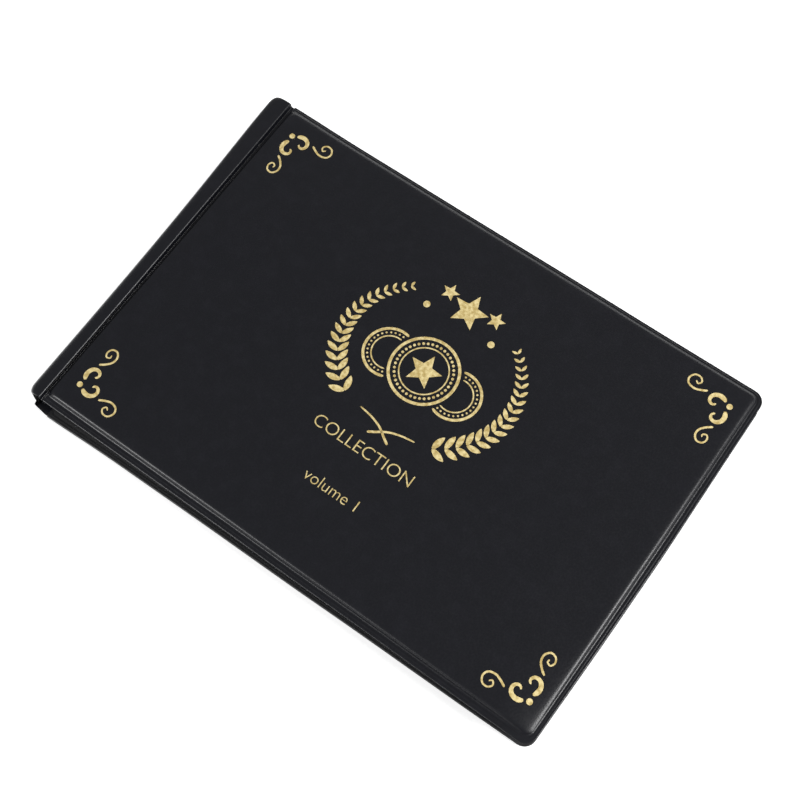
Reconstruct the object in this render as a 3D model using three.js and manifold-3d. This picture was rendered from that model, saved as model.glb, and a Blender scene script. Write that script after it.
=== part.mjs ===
// A landscape coin album: two padded covers, a soft spine and twelve clear sheets of coin pockets,
// bound on three screw posts inside the spine. Millimetres. +X runs from the spine to the fore-edge, +Y to the head
// of the pages, and +Z from the back cover up to the front cover. The origin is the middle of the
// underside's bounding box.
import * as THREE from "three";
import { mergeVertices } from "three/addons/utils/BufferGeometryUtils.js";
import Module from "manifold-3d";

const wasm = await Module();
wasm.setup();

// ---- driving sizes ----

const clearance = 0.3; // between any two pieces that touch or face each other

const cover = {
  length: 246.4, // from the hinge line to the fore-edge
  width: 176,
  corner: 5,
  flange: 3.5, // the welded rim round the padded panel
  panelCorner: 3.5,
  hingeFlange: 1.5, // the weld beside the hinge line
};
const skinThickness = 0.4;
const boardThickness = 1.5;
const linerThickness = 0.3;

const spine = {
  corner: 4,
  cardThickness: 1,
  cardEndInset: 6,
  footClearance: 0.8,
};

const sheet = {
  filmThickness: 0.2,
  pocketDepth: 0.3,
  foreEdgeInset: 5,
  headInset: 6,
  hingeInset: 4.3, // from the hinge line to the sheet's own edge
  corner: 3,
  weldBorder: 3,
};
const mouth = {
  height: 1,
  drop: 5, // below the top weld of its pocket
  sideInset: 3,
};
const layouts = [
  { columns: 7, rows: 6 },
  { columns: 6, rows: 5 },
  { columns: 5, rows: 4 },
  { columns: 4, rows: 3 },
];
const sheetsPerLayout = 3;

const tabGap = 3; // bare film between a sheet and its binding margin
const post = {
  count: 3,
  radius: 1.75,
  bore: 1.2,
  screwRadius: 0.9,
  headRadius: 2.8,
  headThickness: 0.9,
  headRoom: 0.5, // spare width beside the heads, inside the spine
  pitch: 62,
  boreFloor: 3,
};
const holeSides = 8;

// ---- places that follow from them ----

const sheetCount = layouts.length * sheetsPerLayout;
const trayDepth = skinThickness + clearance + boardThickness;
const linerBottom = trayDepth + clearance;
const stackBottom = linerBottom + linerThickness + clearance;
const sheetThickness = 2 * sheet.filmThickness + sheet.pocketDepth;
const sheetPitch = sheetThickness + clearance;
const frontLinerBottom = stackBottom + sheetCount * sheetPitch;
const height = frontLinerBottom + linerThickness + clearance + trayDepth;
const stackTop = frontLinerBottom - clearance;

const spineWall = skinThickness + spine.cardThickness + linerThickness + 3 * clearance;
const spineRoom = 2 * post.headRadius + post.headRoom;
const spineWidth = spineWall + spineRoom + clearance + skinThickness;
const totalLength = cover.length + spineWidth;
const outerX = -totalLength / 2;
const hingeX = outerX + spineWidth;
const foreEdgeX = totalLength / 2;
const sheetLeft = hingeX + sheet.hingeInset;
const sheetRight = foreEdgeX - sheet.foreEdgeInset;
const sheetWidth = cover.width - 2 * sheet.headInset;
const marginLeft = outerX + spineWall;
const marginRight = sheetLeft - tabGap;
const postX = marginLeft + spineRoom / 2;

// ---- materials ----

function material(name, color, roughness, options = {}) {
  return new THREE.MeshStandardMaterial({ name, color, roughness, metalness: 0, ...options });
}

const leatherette = material("leatherette", 0x242427, 0.45);
const linerVinyl = material("liner_vinyl", 0x1c1c1f, 0.5);
const greyboard = material("greyboard", 0x8d877b, 0.95);
const clearFilm = material("clear_film", 0xdfe6ea, 0.12, { transparent: true, opacity: 0.35 });
const postMetal = material("post_metal", 0xb9bbbd, 0.3, { metalness: 1 });

// ---- shape helpers ----

// A rectangle in X and Y with rounded corners, given by its sides.
function roundedRectangle(left, right, halfWidth, radius) {
  const shape = new THREE.Shape();
  shape.moveTo(left + radius, -halfWidth);
  shape.lineTo(right - radius, -halfWidth);
  shape.absarc(right - radius, -halfWidth + radius, radius, -Math.PI / 2, 0, false);
  shape.lineTo(right, halfWidth - radius);
  shape.absarc(right - radius, halfWidth - radius, radius, 0, Math.PI / 2, false);
  shape.lineTo(left + radius, halfWidth);
  shape.absarc(left + radius, halfWidth - radius, radius, Math.PI / 2, Math.PI, false);
  shape.lineTo(left, -halfWidth + radius);
  shape.absarc(left + radius, -halfWidth + radius, radius, Math.PI, 1.5 * Math.PI, false);
  return shape;
}

function plateGeometry(shape, bottom, thickness, curveSegments = 4) {
  const geometry = new THREE.ExtrudeGeometry(shape, {
    depth: thickness,
    bevelEnabled: false,
    curveSegments,
  });
  return geometry.translate(0, 0, bottom);
}

function slab(left, right, halfWidth, bottom, thickness) {
  const geometry = new THREE.BoxGeometry(right - left, 2 * halfWidth, thickness);
  return geometry.translate((left + right) / 2, 0, bottom + thickness / 2);
}

function disc(x, y, radius, bottom, thickness, sides = 16) {
  const geometry = new THREE.CylinderGeometry(radius, radius, thickness, sides);
  geometry.rotateX(Math.PI / 2);
  return geometry.translate(x, y, bottom + thickness / 2);
}

// A closed mesh as a solid that can be joined and cut.
function solid(geometry) {
  const bare = geometry.clone();
  bare.deleteAttribute("normal");
  bare.deleteAttribute("uv");
  const merged = mergeVertices(bare, 1e-4);
  return new wasm.Manifold(
    new wasm.Mesh({
      numProp: 3,
      vertProperties: new Float32Array(merged.attributes.position.array),
      triVerts: new Uint32Array(merged.index.array),
    }),
  );
}

function geometryOf(body) {
  const mesh = body.getMesh();
  const geometry = new THREE.BufferGeometry();
  geometry.setAttribute("position", new THREE.BufferAttribute(mesh.vertProperties, 3));
  geometry.setIndex(new THREE.BufferAttribute(mesh.triVerts, 1));
  geometry.computeVertexNormals();
  return geometry;
}

function joined(...geometries) {
  return geometries.map(solid).reduce((whole, next) => whole.add(next));
}

function cutFrom(body, geometries) {
  return geometries.map(solid).reduce((rest, tool) => rest.subtract(tool), body);
}

function piece(name, geometry, finish) {
  const mesh = new THREE.Mesh(geometry, finish);
  mesh.name = name;
  return mesh;
}

function twoDigits(number) {
  return String(number).padStart(2, "0");
}

// ---- covers, modelled lying on their outer face ----

const panelLeft = hingeX + cover.hingeFlange;
const panelRight = foreEdgeX - cover.flange;
const panelHalfWidth = cover.width / 2 - cover.flange;

function boardOutline(inset) {
  return roundedRectangle(
    panelLeft + inset,
    panelRight - inset,
    panelHalfWidth - inset,
    cover.panelCorner - inset / 2,
  );
}

// The leatherette outside: a shallow tray that holds the board, with a rim for the weld.
function trayParts(left) {
  const panel = roundedRectangle(panelLeft, panelRight, panelHalfWidth, cover.panelCorner);
  const rim = roundedRectangle(left, foreEdgeX, cover.width / 2, cover.corner);
  return [
    plateGeometry(panel, 0, trayDepth),
    plateGeometry(rim, trayDepth - skinThickness, skinThickness),
  ];
}

function boardPocket() {
  return plateGeometry(boardOutline(skinThickness), skinThickness, trayDepth);
}

function coverBoard() {
  const inset = skinThickness + clearance;
  return plateGeometry(boardOutline(inset), skinThickness + clearance, boardThickness);
}

const frontLeft = hingeX + clearance / 2;

function frontSkin() {
  return geometryOf(cutFrom(joined(...trayParts(frontLeft)), [boardPocket()]));
}

function coverLiner(left) {
  const outline = roundedRectangle(left, foreEdgeX, cover.width / 2, cover.corner);
  return plateGeometry(outline, linerBottom, linerThickness);
}

// The back skin runs on past its weld as a strip under the spine.
const backStripLeft = outerX + skinThickness + clearance;
const backWallLeft = hingeX - skinThickness;

function backSkin() {
  const strip = slab(backStripLeft, hingeX, cover.width / 2, 0, skinThickness);
  const wall = slab(backWallLeft, hingeX, cover.width / 2, 0, trayDepth);
  return geometryOf(cutFrom(joined(...trayParts(backWallLeft), strip, wall), [boardPocket()]));
}


// A front cover piece is the same as a back one, turned over about X and lifted to the top.
function turnedOver(mesh) {
  mesh.rotation.x = Math.PI;
  mesh.position.z = height;
  return mesh;
}

function frontCover() {
  const group = new THREE.Group();
  group.add(turnedOver(piece("front_outer_skin", frontSkin(), leatherette)));
  group.add(turnedOver(piece("front_board", coverBoard(), greyboard)));
  group.add(turnedOver(piece("front_liner", coverLiner(frontLeft), linerVinyl)));
  return group;
}

function backCover() {
  const group = new THREE.Group();
  group.add(piece("back_outer_skin", backSkin(), leatherette));
  group.add(piece("back_board", coverBoard(), greyboard));
  group.add(piece("back_liner", coverLiner(backWallLeft), linerVinyl));
  return group;
}

// ---- spine ----

// An upright wall that turns over a rounded corner into a strip towards the hinge line.
// It is drawn in X and Z and extruded along the album's width.
function bentStrip(wallX, topZ, radius, thickness, footZ, endX, length) {
  const centre = new THREE.Vector2(wallX + radius, topZ - radius);
  const shape = new THREE.Shape();
  shape.moveTo(wallX + thickness, footZ);
  shape.lineTo(wallX + thickness, centre.y);
  shape.absarc(centre.x, centre.y, radius - thickness, Math.PI, Math.PI / 2, true);
  shape.lineTo(endX, topZ - thickness);
  shape.lineTo(endX, topZ);
  shape.lineTo(centre.x, topZ);
  shape.absarc(centre.x, centre.y, radius, Math.PI / 2, Math.PI, false);
  shape.lineTo(wallX, footZ);
  const geometry = new THREE.ExtrudeGeometry(shape, {
    depth: length,
    bevelEnabled: false,
    curveSegments: 8,
  });
  geometry.rotateX(Math.PI / 2);
  return geometry.translate(0, length / 2, 0);
}

const spineEndX = hingeX - clearance / 2;

function spineSkin() {
  return bentStrip(
    outerX,
    height,
    spine.corner,
    skinThickness,
    spine.footClearance,
    spineEndX,
    cover.width,
  );
}

const cardX = outerX + skinThickness + clearance;

function spineCard() {
  const foot = spine.footClearance + clearance;
  const top = height - spine.corner - clearance;
  return slab(
    cardX,
    cardX + spine.cardThickness,
    cover.width / 2 - spine.cardEndInset,
    foot,
    top - foot,
  );
}

function spineLiner() {
  const wallX = cardX + spine.cardThickness + clearance;
  const topZ = height - skinThickness - clearance;
  const radius = spine.corner / 2;
  const foot = linerBottom + linerThickness + clearance;
  return bentStrip(wallX, topZ, radius, linerThickness, foot, spineEndX, cover.width);
}

function spineGroup() {
  const group = new THREE.Group();
  group.add(piece("spine_outer_skin", spineSkin(), leatherette));
  group.add(piece("spine_card", spineCard(), greyboard));
  group.add(piece("spine_liner", spineLiner(), linerVinyl));
  return group;
}

// ---- sheets of pockets ----

function sheetOutline() {
  return roundedRectangle(sheetLeft, sheetRight, sheetWidth / 2, sheet.corner);
}

function backFilm() {
  return plateGeometry(sheetOutline(), 0, sheet.filmThickness, 2);
}

// The front film has one slit for each pocket, just under the pocket's top weld.
function mouthSlits(layout) {
  const pitchX = (sheetRight - sheetLeft - 2 * sheet.weldBorder) / layout.columns;
  const pitchY = (sheetWidth - 2 * sheet.weldBorder) / layout.rows;
  const slits = [];
  for (let row = 0; row < layout.rows; row++) {
    const top = sheetWidth / 2 - sheet.weldBorder - row * pitchY - mouth.drop;
    for (let column = 0; column < layout.columns; column++) {
      const left = sheetLeft + sheet.weldBorder + column * pitchX + mouth.sideInset;
      const right = left + pitchX - 2 * mouth.sideInset;
      const slit = slab(left, right, mouth.height / 2, -clearance, sheetThickness);
      slits.push(slit.translate(0, top - mouth.height / 2, 0));
    }
  }
  return slits;
}

function frontFilm(layout) {
  return geometryOf(cutFrom(solid(backFilm()), mouthSlits(layout)));
}

function postPlaces() {
  const first = (-(post.count - 1) / 2) * post.pitch;
  return Array.from({ length: post.count }, (_, i) => first + i * post.pitch);
}

// The holes have few sides, so their flats are what clears the posts.
function postHoles() {
  const radius = (post.radius + clearance) / Math.cos(Math.PI / holeSides);
  const through = sheetThickness + 2 * clearance;
  return postPlaces().map((y) => disc(postX, y, radius, -clearance, through, holeSides));
}

// The sheet's edge that is threaded on the posts.
function bindingMargin() {
  const plate = solid(slab(marginLeft, marginRight, sheetWidth / 2, 0, sheetThickness));
  return geometryOf(cutFrom(plate, postHoles()));
}

// Sheet 1 is on top, under the front cover.
function pocketSheet(number) {
  const layout = layouts[Math.floor((number - 1) / sheetsPerLayout)];
  const group = new THREE.Group();
  const name = `page_${twoDigits(number)}`;
  group.position.z = stackBottom + (sheetCount - number) * sheetPitch;
  const front = piece(`${name}_front_film`, frontFilm(layout), clearFilm);
  front.position.z = sheet.filmThickness + sheet.pocketDepth;
  group.add(piece(`${name}_back_film`, backFilm(), clearFilm));
  group.add(front);
  group.add(piece(`${name}_binding_margin`, bindingMargin(), clearFilm));
  return group;
}

// ---- binding posts ----

const lowerHeadBottom = stackBottom - clearance - post.headThickness;
const boreBottom = lowerHeadBottom + post.boreFloor;

function postBarrel(y) {
  const head = disc(postX, y, post.headRadius, lowerHeadBottom, post.headThickness);
  const barrel = disc(postX, y, post.radius, lowerHeadBottom, stackTop - lowerHeadBottom);
  const bore = disc(postX, y, post.bore, boreBottom, height);
  return geometryOf(cutFrom(joined(head, barrel), [bore]));
}

function postScrew(y) {
  const headBottom = stackTop + clearance;
  const head = disc(postX, y, post.headRadius, headBottom, post.headThickness);
  const shankBottom = boreBottom + clearance;
  const shank = disc(postX, y, post.screwRadius, shankBottom, headBottom - shankBottom + clearance);
  return geometryOf(joined(head, shank));
}

function binding() {
  const group = new THREE.Group();
  postPlaces().forEach((y, i) => {
    group.add(piece(`binding_post_${i + 1}`, postBarrel(y), postMetal));
    group.add(piece(`binding_screw_${i + 1}`, postScrew(y), postMetal));
  });
  return group;
}

// ---- the album ----

function coinAlbum() {
  const album = new THREE.Group();
  album.add(backCover());
  album.add(spineGroup());
  album.add(binding());
  for (let number = 1; number <= sheetCount; number++) {
    album.add(pocketSheet(number));
  }
  album.add(frontCover());
  return album;
}

export default coinAlbum();
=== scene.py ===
import math

import bpy
from mathutils import Matrix, Vector, noise


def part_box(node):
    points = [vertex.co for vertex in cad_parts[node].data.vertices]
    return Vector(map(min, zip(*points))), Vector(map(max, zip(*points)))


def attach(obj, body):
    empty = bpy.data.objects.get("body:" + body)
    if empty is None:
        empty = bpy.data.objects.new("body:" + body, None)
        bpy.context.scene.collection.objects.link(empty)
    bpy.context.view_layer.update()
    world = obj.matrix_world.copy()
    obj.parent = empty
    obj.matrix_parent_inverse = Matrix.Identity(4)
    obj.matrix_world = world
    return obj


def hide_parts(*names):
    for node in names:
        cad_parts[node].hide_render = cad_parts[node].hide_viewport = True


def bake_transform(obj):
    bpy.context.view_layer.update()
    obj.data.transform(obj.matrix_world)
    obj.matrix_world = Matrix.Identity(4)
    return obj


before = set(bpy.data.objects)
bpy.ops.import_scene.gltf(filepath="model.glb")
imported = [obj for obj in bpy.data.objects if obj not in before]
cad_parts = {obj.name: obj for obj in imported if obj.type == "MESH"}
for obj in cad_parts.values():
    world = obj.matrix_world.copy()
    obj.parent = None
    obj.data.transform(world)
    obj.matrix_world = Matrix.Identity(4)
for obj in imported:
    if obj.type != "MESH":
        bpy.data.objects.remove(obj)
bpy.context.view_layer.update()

# Lengths are millimetres until a mesh is made. X runs from the spine to the fore-edge, Y from the
# tail of the pages to the head, and Z up through the closed album.
MM = 0.001


def box_mm(node):
    low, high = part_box(node)
    return Vector(low) / MM, Vector(high) / MM


def section_point(x, z):
    return Vector((x, 0, z)) * MM


FRONT_LOW, FRONT_HIGH = box_mm("front_outer_skin")
BACK_RIM_Z = box_mm("back_outer_skin")[1].z
SPINE_LOW, SPINE_HIGH = box_mm("spine_outer_skin")
SHEET_LOW, SHEET_HIGH = box_mm("page_01_back_film")
MARGIN_LOW, MARGIN_HIGH = box_mm("page_01_binding_margin")

HINGE_X = (FRONT_LOW.x + SPINE_HIGH.x) / 2
BACK_HINGE_X = box_mm("back_liner")[0].x
FORE_EDGE_X = FRONT_HIGH.x
HALF_WIDTH = FRONT_HIGH.y
TOP_Z = FRONT_HIGH.z
GROOVE_HALF = 0.9  # from the hinge line to the spine's side of the pressed groove

LAYOUTS = ((7, 6), (6, 5), (5, 4), (4, 3))  # pockets across and down, three sheets of each
SHEETS_PER_LAYOUT = 3
SHEET_COUNT = len(LAYOUTS) * SHEETS_PER_LAYOUT


# ---- meshes ----

def make_object(name, points, faces, *finishes, smooth=True, finish_of_face=None):
    mesh = bpy.data.meshes.new(name)
    mesh.from_pydata([Vector(p) * MM for p in points], [], faces)
    for finish in finishes:
        mesh.materials.append(finish)
    if finish_of_face:
        mesh.polygons.foreach_set("material_index", finish_of_face)
    if smooth:
        mesh.polygons.foreach_set("use_smooth", [True] * len(mesh.polygons))
    mesh.update()
    piece = bpy.data.objects.new(name, mesh)
    bpy.context.scene.collection.objects.link(piece)
    return piece


PER_SIDE = (60, 44)  # points along the long and the short sides of an outline
PER_CORNER = 8


def rounded_outline(left, right, tail, head, left_radius, right_radius):
    """Points round a rectangle with rounded corners, anticlockwise from the tail of the right side.
    Any two outlines have the same number of points, so they can be joined into a band."""
    corners = (
        (right - right_radius, tail + right_radius, right_radius, -90),
        (right - right_radius, head - right_radius, right_radius, 0),
        (left + left_radius, head - left_radius, left_radius, 90),
        (left + left_radius, tail + left_radius, left_radius, 180),
    )
    points = []
    for i, (x, y, radius, start) in enumerate(corners):
        for k in range(PER_CORNER + 1):
            points.append(on_circle(x, y, radius, start + 90 * k / PER_CORNER))
        x, y, radius, start = corners[(i + 1) % 4]
        corner_end, next_start = points[-1], on_circle(x, y, radius, start)
        steps = PER_SIDE[1] if i % 2 == 0 else PER_SIDE[0]
        points += [corner_end.lerp(next_start, k / steps) for k in range(1, steps)]
    return points


def on_circle(x, y, radius, degrees):
    angle = math.radians(degrees)
    return Vector((x + radius * math.cos(angle), y + radius * math.sin(angle)))


def banded(rings):
    """The points and faces of a closed solid through rings of equal length."""
    count = len(rings[0])
    points = [p for ring in rings for p in ring]
    faces = []
    for r in range(len(rings) - 1):
        for k in range(count):
            a = r * count + k
            b = r * count + (k + 1) % count
            faces.append((a, b, b + count, a + count))
    faces.append(tuple(reversed(range(count))))
    faces.append(tuple(range(len(points) - count, len(points))))
    return points, faces


def waves(point, size, amount, seed):
    """Slow unevenness of soft vinyl, in millimetres. Each seed gives other waves."""
    place = Vector((point[0] / size, point[1] / size, seed))
    return amount * noise.noise(place)


# ---- shader graphs ----

class Value:
    """A number that varies over a surface. Arithmetic on it adds Math nodes."""

    def __init__(self, graph, socket):
        self.graph = graph
        self.socket = socket

    def math(self, operation, *numbers):
        node = self.graph.node("ShaderNodeMath", {"operation": operation}, dict(enumerate(numbers)))
        return Value(self.graph, node.outputs[0])

    def __add__(self, other):
        return self.math("ADD", self, other)

    def __radd__(self, other):
        return self.math("ADD", other, self)

    def __sub__(self, other):
        return self.math("SUBTRACT", self, other)

    def __rsub__(self, other):
        return self.math("SUBTRACT", other, self)

    def __mul__(self, other):
        return self.math("MULTIPLY", self, other)

    def __rmul__(self, other):
        return self.math("MULTIPLY", other, self)

    def between(self, low, high):
        """0 below low, 1 above high, and smooth in between."""
        settings = {"interpolation_type": "SMOOTHSTEP", "clamp": True}
        inputs = {"Value": self, "From Min": low, "From Max": high}
        node = self.graph.node("ShaderNodeMapRange", settings, inputs)
        return Value(self.graph, node.outputs["Result"])


class Graph:
    """The node tree of one material."""

    def __init__(self, name):
        self.material = bpy.data.materials.new(name)
        self.material.use_nodes = True
        self.tree = self.material.node_tree
        self.tree.nodes.clear()
        self.place = self.node("ShaderNodeTexCoord").outputs["Object"]

    def node(self, kind, settings=None, inputs=None):
        node = self.tree.nodes.new(kind)
        for key, value in (settings or {}).items():
            setattr(node, key, value)
        for key, value in (inputs or {}).items():
            self.feed(node.inputs[key], value)
        return node

    def feed(self, socket, value):
        if isinstance(value, Value):
            value = value.socket
        if isinstance(value, bpy.types.NodeSocket):
            self.tree.links.new(value, socket)
        else:
            socket.default_value = value

    def noise(self, size, detail=3.0, roughness=0.5):
        """Noise from 0 to 1 with features about size millimetres across."""
        inputs = {"Vector": self.place, "Scale": 1 / (size * MM), "Detail": detail, "Roughness": roughness}
        return Value(self, self.node("ShaderNodeTexNoise", None, inputs).outputs["Fac"])

    def pebbles(self, size):
        """Rounded cells about size millimetres across: 0 in their middles, rising to their edges."""
        settings = {"feature": "SMOOTH_F1"}
        inputs = {"Vector": self.place, "Scale": 1 / (size * MM), "Smoothness": 0.6}
        return Value(self, self.node("ShaderNodeTexVoronoi", settings, inputs).outputs["Distance"])

    def mixed_colour(self, factor, first, second):
        inputs = {0: factor, 6: (*first, 1), 7: (*second, 1)}
        return self.node("ShaderNodeMix", {"data_type": "RGBA"}, inputs).outputs[2]

    def bump(self, height, distance, strength):
        inputs = {"Height": height, "Distance": distance * MM, "Strength": strength}
        return self.node("ShaderNodeBump", None, inputs).outputs["Normal"]

    def principled(self, **inputs):
        named = {key.replace("_", " ").title(): value for key, value in inputs.items()}
        named = {key.replace("Ior", "IOR"): value for key, value in named.items()}
        return self.node("ShaderNodeBsdfPrincipled", None, named).outputs["BSDF"]

    def finished(self, surface):
        self.node("ShaderNodeOutputMaterial", None, {"Surface": surface})
        return self.material


# ---- finishes ----

def leatherette():
    """Black grained vinyl: small pebbles with fine pores, over slow unevenness."""
    graph = Graph("leatherette")
    grain = graph.pebbles(0.8)
    pores = graph.noise(0.3, 2.0)
    slow = graph.noise(16.0, 2.0)
    wear = graph.noise(5.0, 4.0).between(0.4, 0.8)
    height = (1 - grain) * 0.7 + pores * 0.3
    colour = graph.mixed_colour(wear, (0.0044, 0.0047, 0.0074), (0.0062, 0.0065, 0.0098))
    shader = graph.principled(
        base_color=colour,
        roughness=0.25 + grain * 0.12 + slow * 0.04,
        normal=graph.bump(height, 0.05, 0.5),
        ior=1.47,
    )
    return graph.finished(shader)


def lining_vinyl():
    """Smooth black vinyl inside the covers, with a faint embossed grain."""
    graph = Graph("lining_vinyl")
    grain = graph.noise(0.9, 3.0)
    slow = graph.noise(22.0, 2.0)
    colour = graph.mixed_colour(slow, (0.010, 0.010, 0.011), (0.016, 0.016, 0.0175))
    shader = graph.principled(
        base_color=colour,
        roughness=0.38 + grain * 0.14,
        normal=graph.bump(grain * 0.4 + slow, 0.12, 0.5),
    )
    return graph.finished(shader)


def greyboard():
    """Pressed grey board with short fibres and flecks."""
    graph = Graph("greyboard")
    fibres = graph.noise(0.7, 5.0, 0.65)
    flecks = graph.noise(2.2, 4.0).between(0.62, 0.72)
    colour = graph.mixed_colour(flecks * 0.5 + fibres * 0.5, (0.30, 0.28, 0.24), (0.17, 0.16, 0.14))
    shader = graph.principled(
        base_color=colour,
        roughness=0.85 + fibres * 0.1,
        normal=graph.bump(fibres, 0.05, 0.6),
    )
    return graph.finished(shader)


def gold_foil():
    """Hot-stamped gold: satin metal that the grain underneath just shows through."""
    graph = Graph("gold_foil")
    grain = graph.pebbles(0.85)
    mottle = graph.noise(1.6, 4.0).between(0.3, 0.7)
    worn = graph.noise(0.5, 3.0).between(0.55, 0.8)
    colour = graph.mixed_colour(mottle, (0.60, 0.445, 0.155), (1.0, 0.84, 0.43))
    shader = graph.principled(
        base_color=colour,
        metallic=0.5,
        roughness=0.54 + worn * 0.18,
        normal=graph.bump((1 - grain) * 0.6 + worn * 0.4, 0.03, 0.45),
    )
    return graph.finished(shader)


def clear_vinyl(name, haze_low, haze_high):
    """Clear soft vinyl: mostly see-through, with a cloudy, softly rippled surface that shines."""
    graph = Graph(name)
    cloud = graph.noise(9.0, 4.0)
    ripple = graph.noise(26.0, 2.0)
    fine = graph.noise(1.4, 3.0)
    body = graph.principled(
        base_color=graph.mixed_colour(cloud, (0.62, 0.66, 0.70), (0.80, 0.83, 0.86)),
        roughness=0.10 + fine * 0.14,
        normal=graph.bump(ripple + cloud * 0.3 + fine * 0.03, 1.2, 0.5),
        ior=1.53,
    )
    clear = graph.node("ShaderNodeBsdfTransparent", None, {"Color": (0.97, 0.98, 0.985, 1)}).outputs[0]
    edge = graph.node("ShaderNodeLayerWeight", None, {"Blend": 0.12}).outputs["Fresnel"]
    share = cloud * (haze_high - haze_low) + haze_low + Value(graph, edge) * 0.5
    mixed = graph.node("ShaderNodeMixShader", None, {0: share, 1: clear, 2: body}).outputs[0]
    return graph.finished(mixed)


def post_metal():
    """Nickel-plated screw posts with turning marks and light handling wear."""
    graph = Graph("post_metal")
    marks = graph.noise(0.35, 4.0)
    stain = graph.noise(2.5, 3.0)
    shader = graph.principled(
        base_color=graph.mixed_colour(stain, (0.58, 0.57, 0.55), (0.74, 0.74, 0.73)),
        metallic=1.0,
        roughness=0.2 + marks * 0.2,
        normal=graph.bump(marks, 0.01, 0.5),
    )
    return graph.finished(shader)


def pale_floor():
    """A plain white sweep that glows a little, so the album's shadow stays faint."""
    graph = Graph("pale_floor")
    slow = graph.noise(400.0, 1.0)
    colour = graph.mixed_colour(slow, (0.90, 0.90, 0.90), (0.93, 0.93, 0.93))
    shader = graph.principled(
        base_color=colour,
        roughness=0.9,
        emission_color=(1, 1, 1, 1),
        emission_strength=0.5,
    )
    return graph.finished(shader)


LEATHER = leatherette()
LINING = lining_vinyl()
BOARD = greyboard()
FOIL = gold_foil()
FILM = clear_vinyl("clear_vinyl", 0.05, 0.12)
WELD_FILM = clear_vinyl("welded_vinyl", 0.22, 0.4)
METAL = post_metal()


# ---- covers ----
# A cover is a stack of outlines. Each row is: inset from the open sides, inset from the hinge line,
# and height above the underside of the rim, towards the outside of the album.

WELD_LINES = (
    (0.16, 0.06, 0.00),
    (0.00, 0.00, 0.12),
    (0.00, 0.00, 0.28),
    (0.12, 0.03, 0.40),
    (0.40, 0.08, 0.46),
    (0.75, 0.12, 0.43),
    (1.00, 0.15, 0.35),
    (1.20, 0.17, 0.33),
    (1.40, 0.20, 0.37),
    (1.70, 0.23, 0.45),
    (2.00, 0.27, 0.45),
    (2.25, 0.30, 0.35),
    (2.50, 0.33, 0.32),
    (2.80, 0.36, 0.35),
    (3.10, 0.40, 0.44),
)
PANEL_SLOPE = (
    (3.38, 0.46, 0.68),
    (3.55, 0.56, 1.02),
    (3.74, 0.72, 1.38),
    (3.98, 0.94, 1.68),
    (4.30, 1.22, 1.90),
    (4.75, 1.60, 2.05),
    (5.50, 2.20, 2.14),
    (7.00, 3.60, 2.19),
    (9.50, 6.00, 2.20),
    (14.0, 10.5, 2.20),
    (22.0, 18.5, 2.20),
    (32.0, 28.5, 2.20),
    (44.0, 40.5, 2.20),
    (58.0, 54.5, 2.20),
    (72.0, 68.5, 2.20),
)
SKIN = 0.4
INNER_FACE = (
    (60.0, 57.0, 1.80),
    (12.0, 9.00, 1.79),
    (8.00, 4.80, 1.76),
    (6.00, 2.80, 1.68),
    (5.00, 1.90, 1.54),
    (4.40, 1.40, 1.25),
    (4.05, 1.10, 0.75),
    (3.85, 0.90, 0.25),
    (3.50, 0.70, 0.00),
)
RIM_CORNER = 5.2  # corner radii at the fore-edge, of the rim and of the panel
PANEL_CORNER = 1.7
HINGE_CORNER = 0.5  # corner radii beside the groove, of the rim and of the panel
HINGE_PANEL_CORNER = 3.2
RIM_WIDTH = 3.5
PANEL_FROM = 3.0  # rows further in than this are on the panel
FORE_RIM_SHARE = 0.76  # the rim is narrower along the fore-edge than along the tail
WEAVE_SIZE = 38.0  # the size of the slow waves in the plane of a cover
LIFT_SIZE = 30.0  # the size of the slow waves in its height
BOW = 0.9  # how far the middle of the fore-edge stands out
BOW_LEAN = 0.4  # how much more of the bow is at the head than at the middle
BOW_REACH = 30.0  # how far in from the fore-edge the bow reaches
DROOP = 1.4  # how far the panel sinks at the tail end of the fore-edge
DROOP_REACH = 15.0  # how far in from the fore-edge it starts to sink
DROOP_RUN = 12.0  # and over what distance
DROOP_START_Y = -40.0
DROOP_LENGTH = 42.0


def clamped(value):
    """A share, kept between 0 and 1."""
    return min(max(value, 0.0), 1.0)


def narrowed(side):
    """A row's inset from the fore-edge, where the rim is narrower."""
    return side * FORE_RIM_SHARE if side < RIM_WIDTH else side - RIM_WIDTH * (1 - FORE_RIM_SHARE)


def cover_lift(place, softness, side):
    """How far a soft cover rises or sinks at one place, less on the panel than on the rim."""
    return waves(place, LIFT_SIZE, softness * 0.8, 4.2) * (1 if side < PANEL_FROM else 0.5)


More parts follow.
